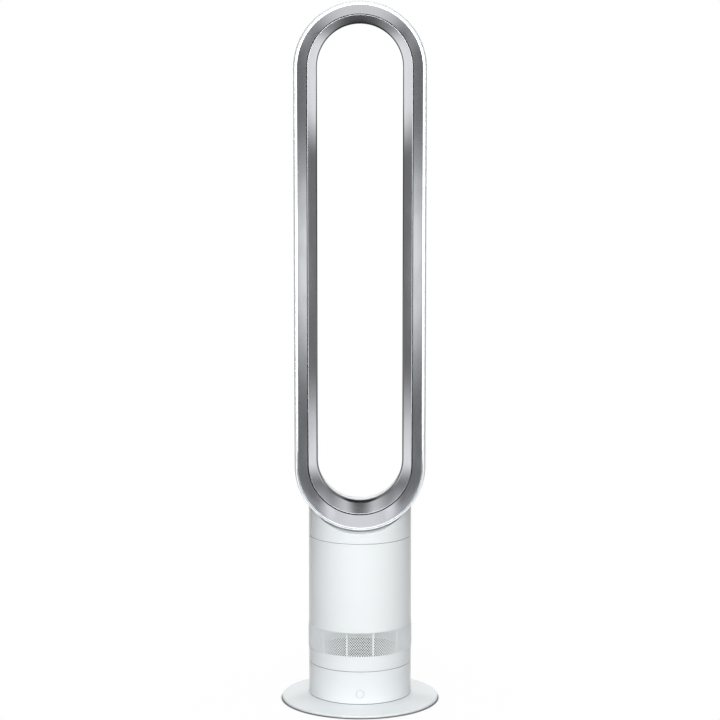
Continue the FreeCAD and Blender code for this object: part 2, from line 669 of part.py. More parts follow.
def make_duct():
    body = new_part("duct")
    top = f"({DUCT_LOW} + duct_height)"
    turn_outline(body, [
        ("duct_mouth", DUCT_LOW),
        ("duct_mouth + duct_wall", DUCT_LOW),
        ("duct_mouth + duct_wall", FLANGE_LOW),
        (f"{INNER_RADIUS} - fit_gap", FLANGE_LOW),
        (f"{INNER_RADIUS} - fit_gap", FLANGE_TOP),
        ("duct_mouth + 2 * duct_wall", FLANGE_TOP),
        ("duct_radius + duct_wall", CONE_TOP),
        ("duct_radius + duct_wall", top),
        ("duct_radius", top),
        ("duct_radius", CONE_TOP),
        ("duct_mouth", CONE_LOW),
    ])


def make_impeller():
    """A mixed-flow wheel: a cone hub with swept blades trimmed to the duct's inside."""
    body = new_part("impeller")
    turn_outline(body, [
        ("shaft_radius", IMPELLER_LOW),
        ("hub_nose", IMPELLER_LOW, 40),
        ("hub_radius", f"{IMPELLER_TOP} - hub_wall"),
        ("hub_radius", IMPELLER_TOP),
        ("hub_radius - hub_wall", IMPELLER_TOP, -40),
        ("hub_nose", f"{IMPELLER_LOW} + hub_boss"),
        ("shaft_radius", f"{IMPELLER_LOW} + hub_boss"),
    ])
    sketch = sketch_in(body, "XY_Plane", IMPELLER_LOW)
    root = "(hub_nose - blade_thickness)"
    tip = "(duct_radius - tip_gap)"
    draw(sketch, [
        (root, "-blade_thickness / 2", 30),
        (tip, "blade_sweep - blade_thickness / 2"),
        (tip, "blade_sweep + blade_thickness / 2", -30),
        (root, "blade_thickness / 2"),
    ])
    blade = pad(body, sketch, "impeller_height")
    repeat_round(body, [blade], "blade_count")
    far = "(duct_radius + duct_wall + blade_sweep)"
    turn_outline(body, [
        ("duct_mouth - tip_gap", f"{IMPELLER_LOW} - hub_wall"),
        (far, f"{IMPELLER_LOW} - hub_wall"),
        (far, f"{IMPELLER_TOP} + hub_wall"),
        ("duct_radius - tip_gap", f"{IMPELLER_TOP} + hub_wall"),
        ("duct_radius - tip_gap", CONE_TOP),
        ("duct_mouth - tip_gap", CONE_LOW),
    ], cut=True)
    under = f"({IMPELLER_TOP} + hub_wall)"
    turn_outline(body, [
        ("shaft_radius", f"{IMPELLER_LOW} + hub_boss"),
        ("hub_nose", f"{IMPELLER_LOW} + hub_boss", 40),
        ("hub_radius - hub_wall", IMPELLER_TOP),
        ("hub_radius - hub_wall", under),
        ("shaft_radius", under),
    ], cut=True)


def make_motor_shaft():
    body = new_part("motor_shaft")
    post(body, "0", "0", "shaft_radius", f"{IMPELLER_LOW} - fit_gap", f"{CAP_CEILING} - fit_gap")


def make_motor_bucket():
    body = new_part("motor_bucket")
    seat = "(bearing_radius + bearing_seat_wall)"
    turn_outline(body, [
        ("shaft_hole", BUCKET_LOW),
        ("bucket_radius", BUCKET_LOW),
        ("bucket_radius", BUCKET_TOP),
        ("bucket_radius - bucket_wall", BUCKET_TOP),
        ("bucket_radius - bucket_wall", BUCKET_FLOOR),
        (seat, BUCKET_FLOOR),
        (seat, f"{BUCKET_FLOOR} + bearing_height"),
        ("bearing_radius", f"{BUCKET_FLOOR} + bearing_height"),
        ("bearing_radius", BUCKET_FLOOR),
        ("shaft_hole", BUCKET_FLOOR),
    ])


def make_motor_cap():
    body = new_part("motor_cap")
    seat = "(bearing_radius + bearing_seat_wall)"
    turn_outline(body, [
        ("bucket_radius - bucket_wall", BUCKET_TOP),
        ("bucket_radius", BUCKET_TOP),
        ("bucket_radius", CAP_TOP),
        ("0", CAP_TOP),
        ("0", CAP_CEILING),
        ("bearing_radius", CAP_CEILING),
        ("bearing_radius", f"{CAP_CEILING} - bearing_height"),
        (seat, f"{CAP_CEILING} - bearing_height"),
        (seat, CAP_CEILING),
        ("bucket_radius - bucket_wall", CAP_CEILING),
    ])


def make_bearings():
    for label, low in (("lower_bearing", BUCKET_FLOOR),
                       ("upper_bearing", f"({CAP_CEILING} - bearing_height)")):
        ring(new_part(label), "shaft_radius + running_gap", "bearing_radius",
             low, f"{low} + bearing_height")


def make_stator_and_rotor():
    low = f"({BUCKET_FLOOR} + stator_lift)"
    high = f"({low} + stator_height)"
    outer = "(bucket_radius - bucket_wall)"
    yoke = f"({outer} - stator_yoke)"
    stator = new_part("motor_stator")
    ring(stator, yoke, outer, low, high)
    tooth = block(stator, "stator_bore", f"{yoke} + stator_yoke / 2", "-tooth_width / 2",
                  "tooth_width / 2", low, high)
    repeat_round(stator, [tooth], "stator_teeth")
    ring(new_part("motor_rotor"), "shaft_radius", "stator_bore - rotor_gap", low, high)


def make_diffuser():
    """Fixed vanes that hold the motor bucket in the duct and straighten the air."""
    body = new_part("diffuser")
    low = f"({BUCKET_LOW} + vane_lift)"
    high = f"({low} + vane_height)"
    inner = "(bucket_radius + vane_gap)"
    outer = "(duct_radius - vane_gap)"
    ring(body, inner, f"{inner} + vane_ring", low, high)
    ring(body, f"{outer} - vane_ring", outer, low, high)
    vane = block(body, f"{inner} + vane_ring / 2", f"{outer} - vane_ring / 2",
                 "-vane_thickness / 2", "vane_thickness / 2", low, high)
    repeat_round(body, [vane], "vane_count")


def make_nose_cone():
    body = new_part("nose_cone")
    top = f"({CAP_TOP} + cone_height)"
    turn_outline(body, [
        ("bucket_radius - cone_wall", CAP_TOP),
        ("bucket_radius", CAP_TOP, 30),
        ("cone_tip", top),
        ("0", top),
        ("0", f"{top} - cone_wall"),
        ("cone_tip - cone_wall", f"{top} - cone_wall", -30),
    ])


# ---- neck ----

def make_neck_gasket():
    ring(new_part("neck_gasket"), "gasket_inner", "gasket_outer", UPPER_LEDGE_TOP, SPIGOT_LOW)


SPIGOT_RADIUS = f"({INNER_RADIUS} - fit_gap)"
SPIGOT_BORE = f"({INNER_RADIUS} - fit_gap - spigot_wall)"
SPIGOT_TOP = f"({NECK_LOW} + spigot_height)"


def saddle_cut(body, extra):
    """Cuts the loop's round lower end, with room all round it, out of an upright body."""
    sketch = sketch_in(body, "XY_Plane", LOOP_LOW_CENTRE)
    far = "2 * body_radius"
    draw(sketch, [
        ("0", f"-{far}"),
        (f"loop_half_width + {extra}", f"-{far}"),
        (f"loop_half_width + {extra}", "widest_setback - front_depth", 12),
        (f"shoulder_half_width + {extra}", "shoulder_setback - front_depth"),
        (f"shoulder_half_width + {extra}", far),
        ("0", far),
    ])
    feature = body.newObject("PartDesign::Groove", "Saddle")
    feature.Profile = sketch
    feature.ReferenceAxis = (sketch, ["V_Axis"])
    feature.Angle = 360


def make_neck_shell():
    """The round neck under the loop. Its top is a saddle that the loop's lower end sits in."""
    outside = new_body("neck_outside")
    top = f"({NECK_LOW} + neck_reach)"
    turn_outline(outside, [
        ("0", SPIGOT_LOW),
        (SPIGOT_RADIUS, SPIGOT_LOW),
        (SPIGOT_RADIUS, NECK_LOW),
        ("body_radius", NECK_LOW),
        ("body_radius", top),
        ("0", top),
    ])
    saddle_cut(outside, "fit_gap")
    inside = new_body("neck_inside")
    turn_outline(inside, [
        ("0", f"{SPIGOT_LOW} - spigot_height"),
        (SPIGOT_BORE, f"{SPIGOT_LOW} - spigot_height"),
        (SPIGOT_BORE, SPIGOT_TOP),
        ("body_radius - neck_wall", SPIGOT_TOP),
        ("body_radius - neck_wall", top),
        ("0", top),
    ])
    saddle_cut(inside, "fit_gap + neck_wall")
    hollow = doc.addObject("Part::Cut", "neck_hollow")
    hollow.Base = outside
    hollow.Tool = inside
    neck = doc.addObject("Part::Cut", "neck_shell")
    neck.Base = hollow
    neck.Tool = air_passage("neck_air_passage")
    parts["neck_shell"] = neck


def air_passage(label):
    """The upright slot-shaped way from the neck up into the loop."""
    body = new_body(label)
    sketch = sketch_in(body, "XY_Plane", NECK_LOW)
    reach = "(air_half_length - air_half_width)"
    draw(sketch, [
        (f"-{reach}", "-air_half_width"),
        (reach, "-air_half_width", 180),
        (reach, "air_half_width"),
        (f"-{reach}", "air_half_width", 180),
    ])
    pad(body, sketch, "loop_lift + loop_half_width - throat_half_width - 2 * loop_wall")
    return body


def make_lock_ring():
    """The bayonet ring inside the spigot, which holds the loop and its neck to the body."""
    ring(new_part("lock_ring"), f"{SPIGOT_BORE} - lock_wall", SPIGOT_BORE,
         SPIGOT_LOW, f"{SPIGOT_LOW} + lock_height")


# ---- air loop ----

LIP_OUTSIDE = "(lip_half_width + loop_wall)"
SLOT_FACE = f"({LIP_OUTSIDE} + slot_gap)"


def loop_sketch(label):
    """A sketch level with the middle of the loop's lower bend, where its section is drawn."""
    sketch = doc.addObject("Sketcher::SketchObject", label)
    bind(sketch, "Placement.Base.z", LOOP_LOW_CENTRE)
    return sketch


def back(setback):
    """The place along Y of a setback from the loop's front plane."""
    return f"({setback} - front_depth)"


def make_loop_path():
    path = doc.addObject("Sketcher::SketchObject", "loop_path")
    path.Placement = FreeCAD.Placement(FreeCAD.Vector(), FreeCAD.Rotation(FreeCAD.Vector(1, 0, 0), 90))
    draw(path, [
        ("loop_half_width", LOOP_LOW_CENTRE),
        ("loop_half_width", LOOP_HIGH_CENTRE, 180),
        ("-loop_half_width", LOOP_HIGH_CENTRE),
        ("-loop_half_width", LOOP_LOW_CENTRE, 180),
    ])
    return path


def sweep_round(label, section, path):
    sweep = doc.addObject("Part::Sweep", label)
    sweep.Sections = [section]
    sweep.Spine = (path, ["Edge1", "Edge2", "Edge3", "Edge4"])
    sweep.Solid = True
    sweep.Frenet = False
    return sweep


def walled(line, thickness):
    """A closed section: an open line given a wall to one side."""
    wall = doc.addObject("Part::Offset2D", f"{line.Label}_wall")
    wall.Source = line
    bind(wall, "Value", thickness)
    wall.Mode = "Skin"
    wall.Join = "Arc"
    wall.Fill = True
    return wall


def make_loop_casing(path):
    """The outer shell, open inwards: front rim, bulged side, rounded back and the slot's lip."""
    line = loop_sketch("casing_line")
    draw(line, [
        ("rim_half_width", back("0"), 12),
        ("loop_half_width", back("widest_setback"), 10),
        ("shoulder_half_width", back("shoulder_setback"), 80),
        ("rear_half_width", back("loop_depth"), 90),
        ("lip_half_width", f"{back('loop_depth')} - (rear_half_width - lip_half_width)"),
        ("lip_half_width", f"{back('loop_depth')} - (rear_half_width - lip_half_width) - lip_length"),
    ], closed=False)
    shell = sweep_round("casing_shell", walled(line, "-loop_wall"), path)
    casing = doc.addObject("Part::Cut", "loop_casing")
    casing.Base = shell
    casing.Tool = air_passage("casing_air_passage")
    parts["loop_casing"] = casing


def make_loop_guide(path):
    """The inner ring that the air clings to: flared band, crease, round throat and slot wall."""
    line = loop_sketch("guide_line")
    draw(line, [
        ("rim_half_width - 2 * loop_wall", back("0"), 4),
        ("crease_half_width", back("crease_setback"), -12),
        ("throat_half_width", back("throat_setback"), -30),
        (SLOT_FACE, back("slot_setback")),
        (SLOT_FACE, back("guide_setback")),
    ], closed=False)
    parts["loop_guide"] = sweep_round("loop_guide", walled(line, "loop_wall"), path)


def make_rim_seal(path):
    """A soft cord between the guide's front edge and the casing."""
    sketch = loop_sketch("rim_seal_section")
    inner = "(rim_half_width - rim_seal_inset)"
    outer = f"({inner} + rim_seal_width)"
    near = back("rim_seal_setback")
    far = back("(rim_seal_setback + rim_seal_width)")
    draw(sketch, [(inner, near), (outer, near), (outer, far), (inner, far)])
    parts["rim_seal"] = sweep_round("rim_seal", sketch, path)


def make_slot_spacers():
    """Small blocks that keep the air slot open along the loop's two straight sides."""
    spacers = doc.addObject("Part::Compound", "slot_spacers")
    blocks = []
    count = int(value("spacers_a_side"))
    for side in (-1, 1):
        for index in range(count):
            spacer = doc.addObject("Part::Box", "spacer")
            bind(spacer, "Length", "slot_gap")
            bind(spacer, "Width", "spacer_depth")
            bind(spacer, "Height", "spacer_width")
            edge = LIP_OUTSIDE if side > 0 else f"(-{SLOT_FACE})"
            share = round((index + 0.5) / count, 6)
            bind(spacer, "Placement.Base.x", edge)
            bind(spacer, "Placement.Base.y", f"{back('slot_setback')} + fit_gap")
            bind(spacer, "Placement.Base.z",
                 f"{LOOP_LOW_CENTRE} + loop_straight * {share} - spacer_width / 2")
            blocks.append(spacer)
    spacers.Links = blocks
    parts["slot_spacers"] = spacers


# ---- build ----

make_foot_ring()
make_bottom_cover()
make_base_weight()
make_base_plate()
make_base_screws()
make_lower_casing()
make_power_button()
make_button_switch()
make_boards()
make_cord_gland()
make_bearing_frame()
make_frame_screws()
make_glide_ring()
make_swing_motor()
make_swing_motor_screws()
make_pinion()
make_ring_gear()
make_turntable()
make_table_screws()
make_keeper_ring()
make_main_casing()
make_inlet_band()
make_silencer_foam()
make_duct_seal()
make_duct()
make_impeller()
make_motor_shaft()
make_motor_bucket()
make_motor_cap()
make_bearings()
make_stator_and_rotor()
make_diffuser()
make_nose_cone()
make_neck_gasket()
make_neck_shell()
make_lock_ring()
loop_path = make_loop_path()
make_loop_casing(loop_path)
make_loop_guide(loop_path)
make_rim_seal(loop_path)
make_slot_spacers()
doc.recompute()

for item in doc.Objects:
    if {"Invalid", "Error"} & set(item.State):
        raise RuntimeError(f"{item.Label} failed: {item.State}")
for label, piece in parts.items():
    if piece.Shape.isNull() or not piece.Shape.isValid() or not piece.Shape.Solids:
        raise RuntimeError(f"{label} has no valid solid")

os.makedirs("parts", exist_ok=True)
for label, piece in parts.items():
    piece.Shape.exportStep(f"parts/{label}.step")
print(f"{len(parts)} sub-parts written")
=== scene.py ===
import math

import bmesh
import bpy
from mathutils import Matrix, Vector


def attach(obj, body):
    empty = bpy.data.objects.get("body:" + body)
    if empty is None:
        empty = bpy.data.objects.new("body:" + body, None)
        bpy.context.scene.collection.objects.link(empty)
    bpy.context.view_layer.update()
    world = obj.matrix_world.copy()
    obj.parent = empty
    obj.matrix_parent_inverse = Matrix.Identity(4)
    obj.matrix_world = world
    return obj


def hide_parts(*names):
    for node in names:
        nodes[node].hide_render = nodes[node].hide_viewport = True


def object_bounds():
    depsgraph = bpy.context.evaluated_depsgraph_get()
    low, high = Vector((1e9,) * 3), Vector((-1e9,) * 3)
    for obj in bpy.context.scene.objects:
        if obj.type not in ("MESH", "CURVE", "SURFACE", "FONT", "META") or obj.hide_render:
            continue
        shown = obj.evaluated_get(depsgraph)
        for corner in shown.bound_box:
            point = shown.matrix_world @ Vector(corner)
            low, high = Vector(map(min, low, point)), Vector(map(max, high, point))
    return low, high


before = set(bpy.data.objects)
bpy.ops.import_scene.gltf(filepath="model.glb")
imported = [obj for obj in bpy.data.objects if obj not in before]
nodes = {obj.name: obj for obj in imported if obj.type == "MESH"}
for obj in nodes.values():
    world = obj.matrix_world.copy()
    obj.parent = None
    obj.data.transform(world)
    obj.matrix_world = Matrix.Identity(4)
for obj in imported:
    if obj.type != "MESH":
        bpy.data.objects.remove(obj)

cad_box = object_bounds()
scene = bpy.context.scene
MM = 0.001


# ---- Camera ----
# A long lens stands off in front at the height of the fan's top and tilts down, so that the
# base shows as a flat ellipse and the loop is met straight on.
CAMERA_BACK = 3.446
CAMERA_HEIGHT = 0.994
CAMERA_TILT = 8.2
LENS = 121.5

camera_data = bpy.data.cameras.new("camera")
camera = bpy.data.objects.new("camera", camera_data)
scene.collection.objects.link(camera)
camera.location = (0, -CAMERA_BACK, CAMERA_HEIGHT)
camera.rotation_euler = (math.radians(90 - CAMERA_TILT), 0, 0)
camera_data.lens = LENS
camera_data.clip_start = 0.1
camera_data.clip_end = 60
scene.camera = camera
scene.view_settings.view_transform = "Standard"


# ---- Studio: world ----
# A white cove all round. Lamps and cards light the fan, so the cove itself gives only a low,
# even fill. Paint and gloss see a pale ceiling, a pale patch straight behind and a dim horizon.
FILL = 0.12
DIM_HORIZON = 0.19
PALE = 0.92


def node_in(tree, kind, **settings):
    """One shader node with its settings."""
    node = tree.nodes.new(kind)
    for name, value in settings.items():
        setattr(node, name, value)
    return node


def sum_of(tree, operation, first, second, clamp=False):
    """A Math node's output, of two sockets or numbers."""
    node = node_in(tree, "ShaderNodeMath", operation=operation, use_clamp=clamp)
    for socket, term in zip(node.inputs, (first, second)):
        if isinstance(term, (int, float)):
            socket.default_value = term
        else:
            tree.links.new(term, socket)
    return node.outputs[0]


def ramp_between(tree, source, start, end, low=0.0, high=1.0):
    """Smoothly from low to high as source goes from start to end."""
    node = node_in(tree, "ShaderNodeMapRange", interpolation_type="SMOOTHSTEP")
    tree.links.new(source, node.inputs["Value"])
    node.inputs["From Min"].default_value = start
    node.inputs["From Max"].default_value = end
    node.inputs["To Min"].default_value = low
    node.inputs["To Max"].default_value = high
    return node.outputs["Result"]


world = bpy.data.worlds.new("cove")
scene.world = world
world.use_nodes = True
sky = world.node_tree
sky.nodes.clear()
direction = node_in(sky, "ShaderNodeTexCoord")
split = node_in(sky, "ShaderNodeSeparateXYZ")
sky.links.new(direction.outputs["Generated"], split.inputs[0])
ceiling = ramp_between(sky, split.outputs["Z"], 0.42, 0.86, DIM_HORIZON, PALE)
behind = ramp_between(sky, split.outputs["Y"], 0.90, 0.97, 0.0, PALE)
seen_by_gloss = sum_of(sky, "MAXIMUM", ceiling, behind)
rays = node_in(sky, "ShaderNodeLightPath")
glossy = sum_of(sky, "MAXIMUM", rays.outputs["Is Glossy Ray"], rays.outputs["Is Transmission Ray"])
gloss_part = sum_of(sky, "MULTIPLY", glossy, seen_by_gloss)
fill_part = sum_of(sky, "MULTIPLY", sum_of(sky, "SUBTRACT", 1.0, glossy), FILL)
level = sum_of(sky, "MAXIMUM", rays.outputs["Is Camera Ray"], sum_of(sky, "ADD", gloss_part, fill_part))
background = node_in(sky, "ShaderNodeBackground")
background.inputs["Color"].default_value = (1, 1, 1, 1)
sky.links.new(level, background.inputs["Strength"])
sky_out = node_in(sky, "ShaderNodeOutputWorld")
sky.links.new(background.outputs[0], sky_out.inputs["Surface"])


# ---- Studio: floor ----
# A wide white sweep. Near the fan it is a matt floor that takes its shadow, further out it runs
# into the white of the cove. Right at the foot of the base a dark line is painted into the floor:
# painted shadow. In gloss it is pale close by and falls off into the dim horizon.
FLOOR_REACH = 30.0
# The radius where the painted shadow line round the base's foot begins.
PAINTED_FOOT_SHADOW_RADIUS = cad_box[1].x + 0.0006
SHADOW_SHARE = 0.07

bm = bmesh.new()
bmesh.ops.create_grid(bm, x_segments=1, y_segments=1, size=FLOOR_REACH)
floor_mesh = bpy.data.meshes.new("floor")
bm.to_mesh(floor_mesh)
bm.free()
floor = bpy.data.objects.new("floor", floor_mesh)
scene.collection.objects.link(floor)
sweep = bpy.data.materials.new("white_sweep")
sweep.use_nodes = True
tree = sweep.node_tree
tree.nodes.clear()
place = node_in(tree, "ShaderNodeTexCoord")
distance = node_in(tree, "ShaderNodeVectorMath", operation="LENGTH")
tree.links.new(place.outputs["Object"], distance.inputs[0])
wide_share = ramp_between(tree, distance.outputs["Value"], 0.16, 0.42, SHADOW_SHARE, 0.0)
# A dark line painted into the floor right round the base's foot: painted shadow.
painted_foot_shadow_share = ramp_between(tree, distance.outputs["Value"], PAINTED_FOOT_SHADOW_RADIUS, PAINTED_FOOT_SHADOW_RADIUS + 0.002, 0.9, 0.0)
near_share = sum_of(tree, "MAXIMUM", wide_share, painted_foot_shadow_share)
pale_share = ramp_between(tree, distance.outputs["Value"], 0.75, 1.75, 0.86, DIM_HORIZON)
rays = node_in(tree, "ShaderNodeLightPath")
paint = node_in(tree, "ShaderNodeBsdfDiffuse")
# The floor's colour is painted dark right at the base's foot, for the same painted shadow line.
tree.links.new(ramp_between(tree, distance.outputs["Value"], PAINTED_FOOT_SHADOW_RADIUS, PAINTED_FOOT_SHADOW_RADIUS + 0.004, 0.1, 0.9),
               paint.inputs["Color"])
matt = node_in(tree, "ShaderNodeBsdfDiffuse")
matt.inputs["Color"].default_value = (0.35, 0.35, 0.35, 1)
white = node_in(tree, "ShaderNodeEmission")
white.inputs["Strength"].default_value = 1.0
seen = node_in(tree, "ShaderNodeMixShader")
tree.links.new(near_share, seen.inputs[0])
tree.links.new(white.outputs[0], seen.inputs[1])
tree.links.new(paint.outputs[0], seen.inputs[2])
mirrored = node_in(tree, "ShaderNodeEmission")
tree.links.new(pale_share, mirrored.inputs["Strength"])
glossy = sum_of(tree, "MAXIMUM", rays.outputs["Is Glossy Ray"], rays.outputs["Is Transmission Ray"])
first = node_in(tree, "ShaderNodeMixShader")
tree.links.new(glossy, first.inputs[0])
tree.links.new(matt.outputs[0], first.inputs[1])
tree.links.new(mirrored.outputs[0], first.inputs[2])
second = node_in(tree, "ShaderNodeMixShader")
tree.links.new(rays.outputs["Is Camera Ray"], second.inputs[0])
tree.links.new(first.outputs[0], second.inputs[1])
tree.links.new(seen.outputs[0], second.inputs[2])
floor_out = node_in(tree, "ShaderNodeOutputMaterial")
tree.links.new(second.outputs[0], floor_out.inputs["Surface"])
floor_mesh.materials.append(sweep)


# ---- Studio: lamps ----
# A tall soft box in front makes the upright white stripe on the body. A wide one overhead lights
# the top of the base, and one behind keeps the back from going dark.
def soft_box(name, centre, towards, size, radiance, in_gloss=False, in_diffuse=True):
    """A flat lamp of a given radiance, which faces a point."""
    data = bpy.data.lights.new(name, "AREA")
    data.shape = "RECTANGLE"
    data.size = size[0]
    data.size_y = size[1]
    data.energy = radiance * size[0] * size[1] * math.pi
    lamp = bpy.data.objects.new(name, data)
    scene.collection.objects.link(lamp)
    lamp.location = centre
    lamp.rotation_euler = (Vector(towards) - Vector(centre)).to_track_quat("-Z", "Y").to_euler()
    lamp.visible_camera = False
    lamp.visible_glossy = in_gloss
    lamp.visible_diffuse = in_diffuse
    return lamp


soft_box("front_box", (0, -2.2, 0.75), (0, 0, 0.55), (1.7, 2.2), 5.4)
soft_box("stripe_box", (0, -2.25, 0.75), (0, 0, 0.55), (2.1, 2.6), 5.2, in_gloss=True, in_diffuse=False)
soft_box("top_box", (0, 0.1, 2.5), (0, 0, 0), (2.6, 2.6), 1.65)
soft_box("back_box", (0, 2.4, 1.2), (0, 0, 0.5), (2.4, 1.6), 4.2)


# ---- Studio: cards for the silver ring ----
# Small glowing cards stand just behind the loop, out of sight, and only gloss sees them. Each
# fades out from its middle, so the silver rises and falls softly along its straight sides.
CARD_PLANE = 0.25


def card(name, across, up, half_width, half_height, strength, back=CARD_PLANE, solid=0.2):
    """An upright card that faces the fan, and fades out from its solid middle."""
    mesh = bpy.data.meshes.new(name)
    shape = bmesh.new()
    bmesh.ops.create_grid(shape, x_segments=1, y_segments=1, size=1.0)
    bmesh.ops.rotate(shape, verts=shape.verts, cent=(0, 0, 0), matrix=Matrix.Rotation(math.pi / 2, 3, "X"))
    bmesh.ops.scale(shape, verts=shape.verts, vec=(half_width, 1, half_height))
    shape.to_mesh(mesh)
    shape.free()
    made = bpy.data.objects.new(name, mesh)
    scene.collection.objects.link(made)
    made.location = (across, back, up)
    glow = bpy.data.materials.new(name)
    glow.use_nodes = True
    tree = glow.node_tree
    tree.nodes.clear()
    place = node_in(tree, "ShaderNodeTexCoord")
    oval = node_in(tree, "ShaderNodeVectorMath", operation="DIVIDE")
    tree.links.new(place.outputs["Object"], oval.inputs[0])
    oval.inputs[1].default_value = (half_width, 1, half_height)
    radius = node_in(tree, "ShaderNodeVectorMath", operation="LENGTH")
    tree.links.new(oval.outputs[0], radius.inputs[0])
    share = ramp_between(tree, radius.outputs["Value"], solid, 1.0, 1.0, 0.0)
    facing = node_in(tree, "ShaderNodeNewGeometry")
    away = node_in(tree, "ShaderNodeSeparateXYZ")
    tree.links.new(facing.outputs["Normal"], away.inputs[0])
    front = sum_of(tree, "LESS_THAN", away.outputs["Y"], 0.0)
    shown = sum_of(tree, "MULTIPLY", share, front)
    light = node_in(tree, "ShaderNodeEmission")
    light.inputs["Strength"].default_value = strength
    clear = node_in(tree, "ShaderNodeBsdfTransparent")
    both = node_in(tree, "ShaderNodeMixShader")
    tree.links.new(shown, both.inputs[0])
    tree.links.new(clear.outputs[0], both.inputs[1])
    tree.links.new(light.outputs[0], both.inputs[2])
    out = node_in(tree, "ShaderNodeOutputMaterial")
    tree.links.new(both.outputs[0], out.inputs["Surface"])
    mesh.materials.append(glow)
    made.visible_camera = False
    made.visible_diffuse = False
    made.visible_shadow = False
    made.visible_transmission = False
    return made


for side in (-1, 1):
    card(f"card_upper_{side}", side * 0.13, 0.885, 0.105, 0.125, 1.0, solid=0.35)
    card(f"card_lower_{side}", side * 0.15, 0.255, 0.085, 0.20, 1.0)
    card(f"card_middle_{side}", side * 0.24, 0.60, 0.075, 0.26, 1.02, solid=0.12)
card("card_dark", 0, 0.73, 0.24, 0.30, 0.03, back=0.5, solid=0.6)


# ---- White shells: their plastic ----
# Moulded ABS with a satin gloss. Up close the skin has a faint orange peel and the white
# wanders by a shade, as moulded parts do.
def place_on_piece(tree):
    """The piece's own place, in metres."""
    return node_in(tree, "ShaderNodeTexCoord").outputs["Object"]


def noise(tree, place, scale, detail=2.0, stretch=None):
    """A noise texture on the piece, so many spots to the metre, drawn out if asked."""
    if stretch:
        mapping = node_in(tree, "ShaderNodeMapping")
        mapping.inputs["Scale"].default_value = stretch
        tree.links.new(place, mapping.inputs["Vector"])
        place = mapping.outputs["Vector"]
    texture = node_in(tree, "ShaderNodeTexNoise")
    texture.inputs["Scale"].default_value = scale
    texture.inputs["Detail"].default_value = detail
    tree.links.new(place, texture.inputs["Vector"])
    return texture.outputs["Fac"]


def between_colours(tree, factor, first, second):
    mix = node_in(tree, "ShaderNodeMix", data_type="RGBA")
    tree.links.new(factor, mix.inputs["Factor"])
    mix.inputs["A"].default_value = (*first, 1)
    mix.inputs["B"].default_value = (*second, 1)
    return mix.outputs["Result"]


def relief(tree, height, depth, strength=1.0):
    bump = node_in(tree, "ShaderNodeBump")
    bump.inputs["Strength"].default_value = strength
    bump.inputs["Distance"].default_value = depth
    tree.links.new(height, bump.inputs["Height"])
    return bump.outputs["Normal"]


def finish_of(name):
    """An empty material with its shader, its tree and the piece's place."""
    material = bpy.data.materials.new(name)
    material.use_nodes = True
    tree = material.node_tree
    shader = tree.nodes["Principled BSDF"]
    return material, tree, shader, place_on_piece(tree)


def moulded_white(name, pale, shade, smoothest, roughest):
    material, tree, shader, place = finish_of(name)
    cloud = noise(tree, place, 14, 3)
    tree.links.new(between_colours(tree, cloud, pale, shade), shader.inputs["Base Color"])
    skin = noise(tree, place, 60, 2)
    tree.links.new(ramp_between(tree, skin, 0.3, 0.7, smoothest, roughest), shader.inputs["Roughness"])
    peel = noise(tree, place, 420, 2)
    tree.links.new(relief(tree, peel, 0.000003, 0.5), shader.inputs["Normal"])
    shader.inputs["IOR"].default_value = 1.5
    return material


white_plastic = moulded_white("white_plastic", (0.80, 0.835, 0.85), (0.78, 0.815, 0.83), 0.06, 0.09)


# ---- Disc base ----
# A shallow dish moulded in one piece, with a soft shoulder that runs down to a thin rim. It
# screws to the lower casing from inside.
TURN_STEPS = 256
BASE_RADIUS = 113.3
BASE_WALL = 2.0
BASE_TOP = 9.7
RIM_HEIGHT = 4.6
RIM_LIFT = 0.9
BODY_RADIUS = 74.1
BORE = 10.0


def outline(corners, plane="XZ"):
    """A closed outline in an upright plane, from corners of across, up and rounding in mm."""
    shape = bmesh.new()
    made = []
    for corner in corners:
        across, up = corner[0] * MM, corner[1] * MM
        spot = (across, 0, up) if plane == "XZ" else (across, up, 0)
        made.append(shape.verts.new(spot))
    shape.faces.new(made)
    for corner, vertex in zip(corners, made):
        if len(corner) > 2:
            bmesh.ops.bevel(
                shape, geom=[vertex], offset=corner[2] * MM, offset_type="OFFSET", segments=corner[3] if len(corner) > 3 else 4,
                profile=0.5, affect="VERTICES", material=-1)
    bmesh.ops.delete(shape, geom=list(shape.faces), context="FACES_ONLY")
    return shape


def turned(corners, steps=TURN_STEPS, axis=(0, 0, 1)):
    """A closed outline turned once round an axis through the origin."""
    shape = outline(corners)
    bmesh.ops.spin(
        shape, geom=list(shape.verts) + list(shape.edges), cent=(0, 0, 0), axis=axis, dvec=(0, 0, 0),
        angle=math.tau, steps=steps, use_merge=True, use_normal_flip=False, use_duplicate=False)
    bmesh.ops.remove_doubles(shape, verts=list(shape.verts), dist=1e-7)
    return shape


def piece(name, shape, material, body, replaced=(), smooth_to=35):
    """Makes an object of a bmesh, gives it its finish and its body, and hides the nodes it stands for."""
    bmesh.ops.recalc_face_normals(shape, faces=list(shape.faces))
    mesh = bpy.data.meshes.new(name)
    shape.to_mesh(mesh)
    shape.free()
    return piece_of_mesh(name, mesh, material, body, replaced, smooth_to)


def piece_of_mesh(name, mesh, material, body, replaced=(), smooth_to=35):
    mesh.name = name
    mesh.materials.clear()
    mesh.materials.append(material)
    mesh.shade_smooth()
    mesh.set_sharp_from_angle(angle=math.radians(smooth_to))
    made = bpy.data.objects.new(name, mesh)
    scene.collection.objects.link(made)
    weighted = made.modifiers.new("even_shading", "WEIGHTED_NORMAL")
    weighted.keep_sharp = True
    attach(made, body)
    if replaced:
        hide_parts(*replaced)
    return made


